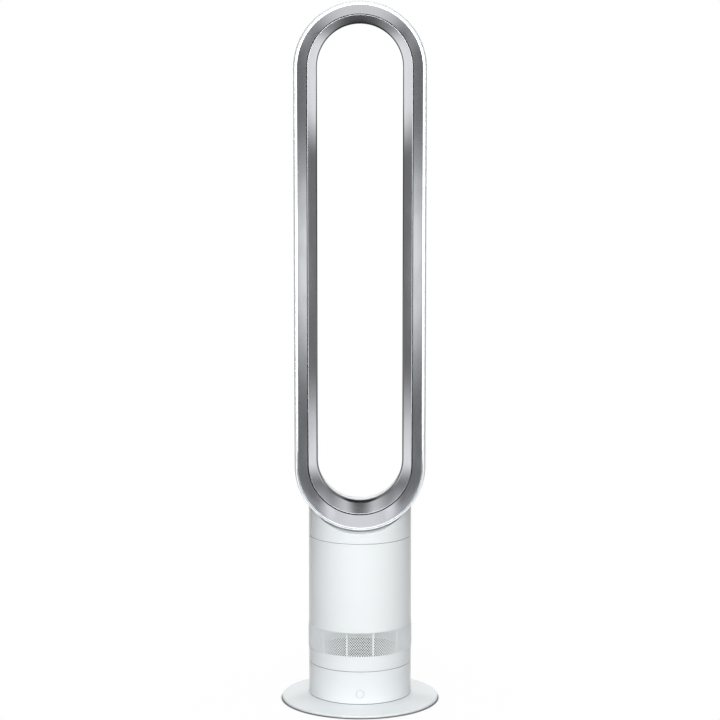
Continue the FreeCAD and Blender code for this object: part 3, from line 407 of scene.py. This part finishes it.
base_shape = turned([
    (BASE_RADIUS - BASE_WALL, RIM_LIFT, 0.3),
    (BASE_RADIUS, RIM_LIFT, 1.6, 6),
    (BASE_RADIUS, RIM_HEIGHT - 0.3, 1.6, 8),
    (BODY_RADIUS + 6, BASE_TOP - 0.15, 9, 8),
    (BODY_RADIUS, BASE_TOP),
    (BORE, BASE_TOP),
    (BORE, BASE_TOP - BASE_WALL),
    (BODY_RADIUS + 3, BASE_TOP - BASE_WALL),
    (BASE_RADIUS - BASE_WALL, RIM_HEIGHT - BASE_WALL, 0.5),
])
piece("base_dish", base_shape, white_plastic, "base", ["base_plate"])


# ---- Lower casing ----
# A short round shell that stands on the dish. The button comes through it in front and the cord
# through it behind.
BODY_WALL = 2.4
COLLAR_LOW = BASE_TOP + 0.6
COLLAR_TOP = 57.2
BUTTON_LEVEL = 25.0
BUTTON_RADIUS = 5.6
BUTTON_GAP = 0.3
GLAND_LEVEL = 18.7
GLAND_HOLE = 5.1


def hidden_tool(shape):
    """A shape that only cuts: it is taken out of the scene after use."""
    bmesh.ops.recalc_face_normals(shape, faces=list(shape.faces))
    mesh = bpy.data.meshes.new("tool")
    shape.to_mesh(mesh)
    shape.free()
    made = bpy.data.objects.new("tool", mesh)
    scene.collection.objects.link(made)
    return made


def cut_away(shape, *tools):
    """What is left of a shape when the tools are cut out of it, as a mesh."""
    blank = hidden_tool(shape)
    for index, tool in enumerate(tools):
        cut = blank.modifiers.new(f"cut_{index}", "BOOLEAN")
        cut.operation = "DIFFERENCE"
        cut.solver = "EXACT"
        cut.object = tool
    evaluated = blank.evaluated_get(bpy.context.evaluated_depsgraph_get())
    mesh = bpy.data.meshes.new_from_object(evaluated)
    bpy.data.objects.remove(blank)
    for tool in tools:
        bpy.data.objects.remove(tool)
    return mesh


def rod_along_y(radius, level, near, far, steps=64):
    """A round rod that lies front to back at a level."""
    shape = bmesh.new()
    bmesh.ops.create_cone(shape, cap_ends=True, segments=steps, radius1=radius * MM, radius2=radius * MM,
                          depth=(far - near) * MM)
    bmesh.ops.rotate(shape, verts=shape.verts, cent=(0, 0, 0), matrix=Matrix.Rotation(math.pi / 2, 3, "X"))
    bmesh.ops.translate(shape, verts=shape.verts, vec=(0, (near + far) / 2 * MM, level * MM))
    return shape


def soften_edges(made, width, segments=2, above=40):
    """A small round on the sharp edges that a cut leaves."""
    bevel = made.modifiers.new("soft_edge", "BEVEL")
    bevel.width = width * MM
    bevel.segments = segments
    bevel.limit_method = "ANGLE"
    bevel.angle_limit = math.radians(above)
    made.modifiers.move(len(made.modifiers) - 1, 0)


def shell(low, high, edge=0.7):
    """A plain length of the body's wall."""
    return turned([
        (BODY_RADIUS - BODY_WALL, low),
        (BODY_RADIUS, low, edge),
        (BODY_RADIUS, high, edge),
        (BODY_RADIUS - BODY_WALL, high),
    ])


lower_mesh = cut_away(
    shell(COLLAR_LOW, COLLAR_TOP),
    hidden_tool(rod_along_y(BUTTON_RADIUS + BUTTON_GAP, BUTTON_LEVEL, -90, -60)),
    hidden_tool(rod_along_y(GLAND_HOLE, GLAND_LEVEL, 60, 90)))
piece_of_mesh("lower_shell", lower_mesh, white_plastic, "base", ["lower_casing"])


# ---- Button ----
# One round push button, flush with the casing and curved like it, with a stem to its switch.
button_plastic = moulded_white("button_plastic", (0.79, 0.825, 0.84), (0.77, 0.81, 0.825), 0.12, 0.18)
button_shape = bmesh.new()
bmesh.ops.create_circle(button_shape, cap_ends=True, segments=64, radius=BUTTON_RADIUS * MM)
for ring in range(6):
    bmesh.ops.inset_region(button_shape, faces=list(button_shape.faces)[:1], thickness=0.75 * MM)
bmesh.ops.rotate(button_shape, verts=button_shape.verts, cent=(0, 0, 0),
                 matrix=Matrix.Rotation(math.pi / 2, 3, "X"))
for vertex in button_shape.verts:
    vertex.co.y = -math.sqrt((BODY_RADIUS * MM) ** 2 - vertex.co.x ** 2)
skirt = bmesh.ops.extrude_face_region(button_shape, geom=list(button_shape.faces))
back_face = [item for item in skirt["geom"] if isinstance(item, bmesh.types.BMVert)]
for vertex in back_face:
    vertex.co.y = -68.6 * MM
bmesh.ops.translate(button_shape, verts=button_shape.verts, vec=(0, 0, BUTTON_LEVEL * MM))
button = piece("push_button", button_shape, button_plastic, "button", ["power_button"])
soften_edges(button, 0.25, 3)


# ---- Cord gland ----
# A flanged ring of black rubber, pressed into the back of the lower casing, that guards the cord.
def black_rubber(name):
    material, tree, shader, place = finish_of(name)
    dust = noise(tree, place, 90, 4)
    tree.links.new(between_colours(tree, dust, (0.018, 0.018, 0.019), (0.035, 0.035, 0.036)),
                   shader.inputs["Base Color"])
    grain = noise(tree, place, 2600, 2)
    tree.links.new(relief(tree, grain, 0.00006, 0.5), shader.inputs["Normal"])
    shader.inputs["Roughness"].default_value = 0.62
    return material


rubber = black_rubber("black_rubber")
for name in ("foot_ring", "cord_gland", "duct_seal", "neck_gasket", "rim_seal"):
    nodes[name].data.materials.clear()
    nodes[name].data.materials.append(rubber)


# ---- Main casing ----
# The tall round shell of the swinging body. Twelve windows in it, behind the inlet band, let the
# air in.
TOWER_LOW = 57.8
TOWER_TOP = 243.5
BAND_LOW = 79.6
BAND_HEIGHT = 35.0
BAND_PROUD = 0.6
BAND_THICKNESS = 1.7
WINDOWS = 12
STRIP_ANGLE = 2.0
BAND_RADIUS = BODY_RADIUS + BAND_PROUD
RECESS_RADIUS = BAND_RADIUS - BAND_THICKNESS - 0.1
band_middle = BAND_LOW + BAND_HEIGHT / 2

main_blank = turned([
    (BODY_RADIUS - BODY_WALL, TOWER_LOW),
    (BODY_RADIUS, TOWER_LOW, 0.7),
    (BODY_RADIUS, BAND_LOW, 0.3),
    (RECESS_RADIUS, BAND_LOW),
    (RECESS_RADIUS, BAND_LOW + BAND_HEIGHT),
    (BODY_RADIUS, BAND_LOW + BAND_HEIGHT, 0.3),
    (BODY_RADIUS, TOWER_TOP, 0.7),
    (BODY_RADIUS - BODY_WALL, TOWER_TOP),
])
windows = bmesh.new()
half_window = math.radians(180 / WINDOWS - STRIP_ANGLE / 2)
block = bmesh.ops.create_cube(windows, size=1.0)["verts"]
reach = (BODY_RADIUS + 6) * MM
bmesh.ops.scale(windows, verts=block, vec=(2 * math.tan(half_window), 20 * MM, BAND_HEIGHT * MM))
bmesh.ops.translate(windows, verts=block, vec=(0, 10 * MM - reach, band_middle * MM))
for vertex in block:
    vertex.co.x *= -vertex.co.y
bmesh.ops.spin(windows, geom=list(windows.verts) + list(windows.edges) + list(windows.faces), cent=(0, 0, 0),
               axis=(0, 0, 1), dvec=(0, 0, 0), angle=math.tau, steps=WINDOWS, use_merge=False,
               use_normal_flip=False, use_duplicate=True)
bmesh.ops.remove_doubles(windows, verts=list(windows.verts), dist=1e-6)
main_mesh = cut_away(main_blank, hidden_tool(windows))
piece_of_mesh("main_shell", main_mesh, white_plastic, "tower", ["main_casing"])


# ---- Inlet band ----
# White painted sheet, punched with staggered round holes in twelve fields, rolled into a ring and
# set in its recess in the main casing.
COLUMNS_A_FIELD = 22
COLUMNS = COLUMNS_A_FIELD * WINDOWS
ROW_PITCH = 4.0
HOLE_RADIUS = 1.15
column_pitch = math.tau * BAND_RADIUS / COLUMNS
band_half = BAND_HEIGHT / 2 - 0.1

band_paint, tree, shader, place = finish_of("band_paint")
cloud = noise(tree, place, 20, 3)
tree.links.new(between_colours(tree, cloud, (0.80, 0.835, 0.85), (0.77, 0.81, 0.825)), shader.inputs["Base Color"])
texture = noise(tree, place, 900, 3)
tree.links.new(relief(tree, texture, 0.00002, 0.5), shader.inputs["Normal"])
shader.inputs["Roughness"].default_value = 0.3

field = bmesh.new()
diamond = [(column_pitch, 0), (column_pitch / 2, ROW_PITCH / 2 * 0.5), (0, ROW_PITCH / 2),
           (-column_pitch / 2, ROW_PITCH / 4), (-column_pitch, 0), (-column_pitch / 2, -ROW_PITCH / 4),
           (0, -ROW_PITCH / 2), (column_pitch / 2, -ROW_PITCH / 4)]


def diamond_cell(shape, across, up, open_middle):
    """One cell of the punched sheet, a diamond with or without its hole."""
    corners = [shape.verts.new(((across + x) * MM, 0, (up + z) * MM)) for x, z in diamond]
    if not open_middle:
        shape.faces.new(corners)
        return
    rim = bmesh.ops.create_circle(shape, segments=8, radius=HOLE_RADIUS * MM)["verts"]
    bmesh.ops.rotate(shape, verts=rim, cent=(0, 0, 0), matrix=Matrix.Rotation(math.pi / 2, 3, "X"))
    bmesh.ops.translate(shape, verts=rim, vec=(across * MM, 0, up * MM))
    border = [shape.edges.new((corners[i], corners[(i + 1) % 8])) for i in range(8)]
    hole = list({edge for vertex in rim for edge in vertex.link_edges})
    bmesh.ops.bridge_loops(shape, edges=border + hole)


for column in range(COLUMNS_A_FIELD):
    across = (column - (COLUMNS_A_FIELD - 2) / 2) * column_pitch
    odd = column % 2
    for row in range(-5 if odd else -4, 5):
        up = row * ROW_PITCH + (ROW_PITCH / 2 if odd else 0)
        solid = column == COLUMNS_A_FIELD - 1 or abs(up) > band_half
        diamond_cell(field, across, up, not solid)
bmesh.ops.remove_doubles(field, verts=list(field.verts), dist=1e-6)
for side in (-1, 1):
    bmesh.ops.bisect_plane(field, geom=list(field.verts) + list(field.edges) + list(field.faces), dist=1e-7,
                           plane_co=(0, 0, side * band_half * MM), plane_no=(0, 0, side), clear_outer=True)
for vertex in field.verts:
    angle = vertex.co.x / (BAND_RADIUS * MM)
    vertex.co.x = math.sin(angle) * BAND_RADIUS * MM
    vertex.co.y = -math.cos(angle) * BAND_RADIUS * MM
    vertex.co.z += band_middle * MM
bmesh.ops.spin(field, geom=list(field.verts) + list(field.edges) + list(field.faces), cent=(0, 0, 0),
               axis=(0, 0, 1), dvec=(0, 0, 0), angle=math.tau, steps=WINDOWS, use_merge=False,
               use_normal_flip=False, use_duplicate=True)
bmesh.ops.remove_doubles(field, verts=list(field.verts), dist=2e-6)
bmesh.ops.recalc_face_normals(field, faces=list(field.faces))
front_face = max(field.faces, key=lambda face: -face.calc_center_median().y)
if front_face.normal.y > 0:
    bmesh.ops.reverse_faces(field, faces=list(field.faces))
bmesh.ops.solidify(field, geom=list(field.faces), thickness=BAND_THICKNESS * MM)
piece("inlet_sheet", field, band_paint, "tower", ["inlet_band"])


# ---- Neck ----
# A round collar that continues the body up to the loop. Its top is a saddle in which the loop's
# lower bend sits, with a hair of room.
NECK_LOW = 244.0
NECK_TOP = 300.0
NECK_WALL = 2.5
SPIGOT_RADIUS = 71.4
SPIGOT_LOW = 242.0
LOOP_HALF_WIDTH = 93.3
LOOP_LOW = 257.9
LOOP_STRAIGHT = 562.5
LOW_BEND = LOOP_LOW + LOOP_HALF_WIDTH
HIGH_BEND = LOW_BEND + LOOP_STRAIGHT


def saddle(extra):
    """The space of the loop's lower bend, grown all round, as a shape that cuts."""
    shape = outline([
        (0.0, -150), (LOOP_HALF_WIDTH + extra, -150), (LOOP_HALF_WIDTH + extra, -38),
        (93.39 + extra, 2.2, 38, 10), (86.5 + extra, 41.85), (86.5 + extra, 150), (0.0, 150),
    ], plane="XY")
    bmesh.ops.spin(shape, geom=list(shape.verts) + list(shape.edges), cent=(0, 0, 0), axis=(0, 1, 0),
                   dvec=(0, 0, 0), angle=math.tau, steps=TURN_STEPS, use_merge=True,
                   use_normal_flip=False, use_duplicate=False)
    bmesh.ops.remove_doubles(shape, verts=list(shape.verts), dist=1e-7)
    bmesh.ops.translate(shape, verts=shape.verts, vec=(0, 0, LOW_BEND * MM))
    return hidden_tool(shape)


def air_way():
    """The slot-shaped way up from the neck into the loop."""
    half_length, half_width = 44.0, 27.0
    shape = outline([
        (-half_length, -half_width, half_width * 0.99, 24), (half_length, -half_width, half_width * 0.99, 24),
        (half_length, half_width, half_width * 0.99, 24), (-half_length, half_width, half_width * 0.99, 24),
    ], plane="XY")
    bmesh.ops.contextual_create(shape, geom=list(shape.edges))
    bmesh.ops.translate(shape, verts=shape.verts, vec=(0, 0, (NECK_LOW - 5) * MM))
    grown = bmesh.ops.extrude_face_region(shape, geom=list(shape.faces))["geom"]
    bmesh.ops.translate(shape, verts=[item for item in grown if isinstance(item, bmesh.types.BMVert)],
                        vec=(0, 0, 45 * MM))
    return hidden_tool(shape)


neck_outside = turned([
    (0, SPIGOT_LOW), (SPIGOT_RADIUS, SPIGOT_LOW), (SPIGOT_RADIUS, NECK_LOW), (BODY_RADIUS, NECK_LOW, 0.7),
    (BODY_RADIUS, NECK_TOP), (0, NECK_TOP),
])
neck_inside = turned([
    (0, SPIGOT_LOW - 4), (SPIGOT_RADIUS - NECK_WALL, SPIGOT_LOW - 4),
    (SPIGOT_RADIUS - NECK_WALL, NECK_LOW + 4), (BODY_RADIUS - NECK_WALL, NECK_LOW + 4),
    (BODY_RADIUS - NECK_WALL, NECK_TOP + 5), (0, NECK_TOP + 5),
])
core_mesh = cut_away(neck_inside, saddle(0.3 + NECK_WALL))
core = bpy.data.objects.new("tool", core_mesh)
scene.collection.objects.link(core)
neck_mesh = cut_away(neck_outside, saddle(0.3), core, air_way())
neck = piece_of_mesh("neck_collar", neck_mesh, white_plastic, "tower", ["neck_shell"])


# ---- Seam cords: painted shade ----
# A thin black cord lies in each of the three seams of the body, so that the seams show dark:
# painted shade in the gaps.
for name, level, body in (("foot_seam_shade", BASE_TOP + 0.4, "base"), ("swing_seam_shade", 57.5, "tower"),
                          ("neck_seam_shade", NECK_LOW - 0.25, "tower")):
    cord = turned([
        (BODY_RADIUS - 2.2, level - 0.5), (BODY_RADIUS - 0.7, level - 0.5, 0.3),
        (BODY_RADIUS - 0.7, level + 0.5, 0.3), (BODY_RADIUS - 2.2, level + 0.5),
    ])
    piece(name, cord, rubber, body)


# ---- Air loop: outer shell ----
# The white back half of the loop, moulded in two pieces and welded. It bulges at the sides,
# rounds over behind and turns in to the lip of the air slot.
BEND_STEPS = 96
SIDE_STEPS = 12


def round_the_loop(shape):
    """Carries an outline, drawn at the right of the upper bend, once round the loop."""
    bmesh.ops.translate(shape, verts=shape.verts, vec=(0, 0, HIGH_BEND * MM))
    first = [edge for edge in shape.edges]
    moving = first
    for centre in (HIGH_BEND, LOW_BEND):
        spun = bmesh.ops.spin(
            shape, geom=list({vertex for edge in moving for vertex in edge.verts}) + list(moving),
            cent=(0, 0, centre * MM), axis=(0, 1, 0), dvec=(0, 0, 0), angle=-math.pi, steps=BEND_STEPS,
            use_merge=False, use_normal_flip=False, use_duplicate=False)
        moving = [item for item in spun["geom_last"] if isinstance(item, bmesh.types.BMEdge)]
        drop = -LOOP_STRAIGHT if centre == HIGH_BEND else LOOP_STRAIGHT
        for step in range(SIDE_STEPS):
            grown = bmesh.ops.extrude_edge_only(shape, edges=moving)["geom"]
            bmesh.ops.translate(shape, verts=[item for item in grown if isinstance(item, bmesh.types.BMVert)],
                                vec=(0, 0, drop / SIDE_STEPS * MM))
            moving = [item for item in grown if isinstance(item, bmesh.types.BMEdge)]
    bmesh.ops.remove_doubles(shape, verts=list(shape.verts), dist=1e-6)
    return shape


satin_white = moulded_white("satin_white", (0.80, 0.835, 0.85), (0.78, 0.815, 0.83), 0.34, 0.42)
casing_shape = round_the_loop(outline([
    (91.2, -55.0, 0.7, 4),
    (93.14, -46.6, 8.0, 6),
    (93.39, 2.2, 38.0, 12),
    (84.17, 55.0, 13.0, 14),
    (63.5, 55.0, 7.2, 12),
    (63.5, 32.0, 0.5, 3),
    (65.3, 32.0, 0.5, 3),
    (65.3, 53.2, 5.4, 10),
    (82.65, 53.2, 11.0, 12),
    (91.58, 2.2, 37.0, 12),
    (91.3, -46.4, 6.0, 5),
    (89.4, -55.0, 0.4, 3),
], plane="XY"))
piece("loop_shell", casing_shape, satin_white, "tower", ["loop_casing"])


# ---- Air loop: silver ring ----
# The inside of the loop, in two moulded bands with glossy metallic paint: a wide flare in front,
# and behind it the throat that the air clings to. A fine open joint parts them.
silver, tree, shader, place = finish_of("silver_paint")
flake = node_in(tree, "ShaderNodeTexVoronoi")
flake.inputs["Scale"].default_value = 3500
tree.links.new(place, flake.inputs["Vector"])
flake_tone = node_in(tree, "ShaderNodeSeparateColor")
tree.links.new(flake.outputs["Color"], flake_tone.inputs[0])
tree.links.new(between_colours(tree, flake_tone.outputs["Red"], (0.665, 0.675, 0.715), (0.70, 0.71, 0.75)),
               shader.inputs["Base Color"])
shader.inputs["Metallic"].default_value = 1.0
haze = noise(tree, place, 30, 3)
tree.links.new(ramp_between(tree, haze, 0.3, 0.7, 0.11, 0.15), shader.inputs["Roughness"])

flare_shape = round_the_loop(outline([
    (87.6, -55.0, 0.45, 4),
    (75.0, -26.5, 0.5, 4),
    (75.7, -25.2, 0.4, 3),
    (77.0, -26.2),
    (89.3, -53.9),
    (89.3, -55.0, 0.3, 3),
], plane="XY"))
piece("silver_flare", flare_shape, silver, "tower", ["loop_guide"])
throat_shape = round_the_loop(outline([
    (73.5, -24.6, 0.5, 4),
    (61.05, 9.8, 7.0, 8),
    (60.95, 20.0, 4.0, 6),
    (66.8, 32.0, 3.0, 4),
    (66.8, 44.0, 0.4, 3),
    (68.6, 44.0, 0.4, 3),
    (68.6, 31.6, 3.0, 4),
    (62.8, 20.0, 4.0, 6),
    (62.85, 10.3, 6.5, 8),
    (74.9, -23.4, 0.5, 3),
], plane="XY"))
piece("silver_throat", throat_shape, silver, "tower")


# ---- Air loop: joint ring, painted shade ----
# A black ring behind the open joint between the silver bands, whose black stands in for the shade in the joint:
# painted shade.
joint_shade_shape = round_the_loop(outline([
    (74.5, -21.4, 0.2, 2),
    (78.6, -27.0, 0.2, 2),
    (79.4, -26.2, 0.2, 2),
    (75.2, -19.6, 0.2, 2),
], plane="XY"))
piece("joint_shade_ring", joint_shade_shape, rubber, "tower")


# ---- Hidden plastic ----
# Ducts, motor housings, bearing frame and cover: dark grey plastic with a fine eroded grain.
grey, tree, shader, place = finish_of("grey_plastic")
cloud = noise(tree, place, 40, 3)
tree.links.new(between_colours(tree, cloud, (0.075, 0.078, 0.084), (0.10, 0.103, 0.11)), shader.inputs["Base Color"])
grain = noise(tree, place, 1800, 3)
tree.links.new(relief(tree, grain, 0.00005, 0.6), shader.inputs["Normal"])
tree.links.new(ramp_between(tree, grain, 0.3, 0.7, 0.42, 0.6), shader.inputs["Roughness"])
for name in ("bottom_cover", "bearing_frame", "turntable", "keeper_ring", "duct", "motor_bucket", "motor_cap",
             "diffuser", "nose_cone", "lock_ring", "slot_spacers", "impeller"):
    nodes[name].data.materials.clear()
    nodes[name].data.materials.append(grey)


# ---- Gears and glide ring ----
# Natural acetal, milky and slightly waxy.
acetal, tree, shader, place = finish_of("acetal")
cloud = noise(tree, place, 60, 3)
tree.links.new(between_colours(tree, cloud, (0.74, 0.72, 0.64), (0.80, 0.78, 0.71)), shader.inputs["Base Color"])
skin = noise(tree, place, 1200, 2)
tree.links.new(relief(tree, skin, 0.00002, 0.4), shader.inputs["Normal"])
shader.inputs["Roughness"].default_value = 0.38
for name in ("pinion", "ring_gear", "glide_ring"):
    nodes[name].data.materials.clear()
    nodes[name].data.materials.append(acetal)


# ---- Silencer foam ----
# Open-cell acoustic foam round the inlet.
foam, tree, shader, place = finish_of("open_foam")
cells = node_in(tree, "ShaderNodeTexVoronoi")
cells.inputs["Scale"].default_value = 700
tree.links.new(place, cells.inputs["Vector"])
depth = ramp_between(tree, cells.outputs["Distance"], 0.1, 0.6)
# The cells are painted darker in their hollows, where the bump sinks them: painted shade.
tree.links.new(between_colours(tree, depth, (0.008, 0.008, 0.009), (0.03, 0.03, 0.032)), shader.inputs["Base Color"])
tree.links.new(relief(tree, depth, 0.0006, 1.0), shader.inputs["Normal"])
shader.inputs["Roughness"].default_value = 0.95
nodes["silencer_foam"].data.materials.clear()
nodes["silencer_foam"].data.materials.append(foam)


# ---- Metal pieces ----
# Ground shafts, bearings, zinc-plated screws and the ballast plate of rolled steel.
def metal(name, dark, pale, roughness, stretch):
    material, tree, shader, place = finish_of(name)
    lines = noise(tree, place, 400, 3, stretch)
    tree.links.new(between_colours(tree, lines, dark, pale), shader.inputs["Base Color"])
    tree.links.new(relief(tree, lines, 0.00002, 0.5), shader.inputs["Normal"])
    tree.links.new(ramp_between(tree, lines, 0.3, 0.7, roughness, roughness + 0.12), shader.inputs["Roughness"])
    shader.inputs["Metallic"].default_value = 1.0
    return material


steel = metal("ground_steel", (0.46, 0.46, 0.47), (0.58, 0.58, 0.59), 0.26, (1, 1, 12))
iron = metal("stacked_iron", (0.10, 0.10, 0.11), (0.17, 0.17, 0.18), 0.45, (0.2, 0.2, 4))
for name in ("base_weight", "base_screws", "cover_screws", "frame_screws", "table_screws", "swing_motor_screws",
             "pinion_shaft", "motor_shaft", "lower_bearing", "upper_bearing", "swing_motor"):
    nodes[name].data.materials.clear()
    nodes[name].data.materials.append(steel)
for name in ("motor_stator", "motor_rotor"):
    nodes[name].data.materials.clear()
    nodes[name].data.materials.append(iron)


# ---- Circuit boards and switch ----
# Green solder mask over glass fibre, with the tracks showing as slightly paler lines.
board, tree, shader, place = finish_of("solder_mask")
tracks = node_in(tree, "ShaderNodeTexBrick")
tracks.inputs["Scale"].default_value = 160
tracks.inputs["Color1"].default_value = (0.012, 0.10, 0.035, 1)
tracks.inputs["Color2"].default_value = (0.016, 0.12, 0.045, 1)
tracks.inputs["Mortar"].default_value = (0.03, 0.20, 0.08, 1)
tracks.inputs["Mortar Size"].default_value = 0.04
tree.links.new(place, tracks.inputs["Vector"])
tree.links.new(tracks.outputs["Color"], shader.inputs["Base Color"])
tree.links.new(relief(tree, tracks.outputs["Fac"], 0.00003, 0.5), shader.inputs["Normal"])
shader.inputs["Roughness"].default_value = 0.35
for name in ("switch_board", "control_board", "button_switch"):
    nodes[name].data.materials.clear()
    nodes[name].data.materials.append(board)
